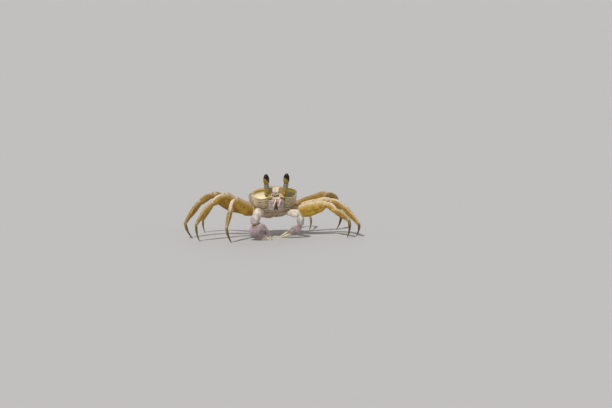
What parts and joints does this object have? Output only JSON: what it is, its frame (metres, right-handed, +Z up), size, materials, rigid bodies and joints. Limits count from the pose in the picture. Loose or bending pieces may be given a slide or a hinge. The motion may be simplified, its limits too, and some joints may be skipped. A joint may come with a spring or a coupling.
{
  "type": "ghost crab",
  "caption": "Life-size Atlantic ghost crab standing on its toes, body tipped face up, claws lowered to the floor and eyes raised on stalks.",
  "frame": {"origin": "middle of the outline seen from above, on the floor under the toes", "axes": "+X towards the crab's left legs, +Y towards its tail (the crab faces -Y), +Z up"},
  "size_m": [0.1553, 0.0738, 0.0582],
  "materials": {
    "straw": "straw-yellow leg shell, satin",
    "shell": "olive-tan granular back shell, matte",
    "pale": "cream-white shell, satin",
    "lilac": "lilac-grey shell, satin",
    "toe": "brown horny toe, satin",
    "eye": "olive-black eye, glossy"
  },
  "bodies": {
    "root": {"antenna_left": "pale", "antenna_right": "pale", "breastplate": "shell", "carapace": "shell", "claw_left_arm": "pale", "claw_left_finger": "pale", "claw_left_palm": "lilac", "claw_left_wrist": "pale", "claw_right_arm": "pale", "claw_right_finger": "pale", "claw_right_palm": "lilac", "claw_right_wrist": "pale", "eye_left": "eye", "eye_right": "eye", "eyestalk_left": "pale", "eyestalk_right": "pale", "leg_left_1_carpus": "straw", "leg_left_1_dactyl": "toe", "leg_left_1_merus": "straw", "leg_left_1_propodus": "straw", "leg_left_2_carpus": "straw", "leg_left_2_dactyl": "toe", "leg_left_2_merus": "straw", "leg_left_2_propodus": "straw", "leg_left_3_carpus": "straw", "leg_left_3_dactyl": "toe", "leg_left_3_merus": "straw", "leg_left_3_propodus": "straw", "leg_left_4_carpus": "straw", "leg_left_4_dactyl": "toe", "leg_left_4_merus": "straw", "leg_left_4_propodus": "straw", "leg_right_1_carpus": "straw", "leg_right_1_dactyl": "toe", "leg_right_1_merus": "straw", "leg_right_1_propodus": "straw", "leg_right_2_carpus": "straw", "leg_right_2_dactyl": "toe", "leg_right_2_merus": "straw", "leg_right_2_propodus": "straw", "leg_right_3_carpus": "straw", "leg_right_3_dactyl": "toe", "leg_right_3_merus": "straw", "leg_right_3_propodus": "straw", "leg_right_4_carpus": "straw", "leg_right_4_dactyl": "toe", "leg_right_4_merus": "straw", "leg_right_4_propodus": "straw", "mouth_plate_left": "lilac", "mouth_plate_right": "lilac", "tail_flap": "shell"}
  },
  "joints": []
}
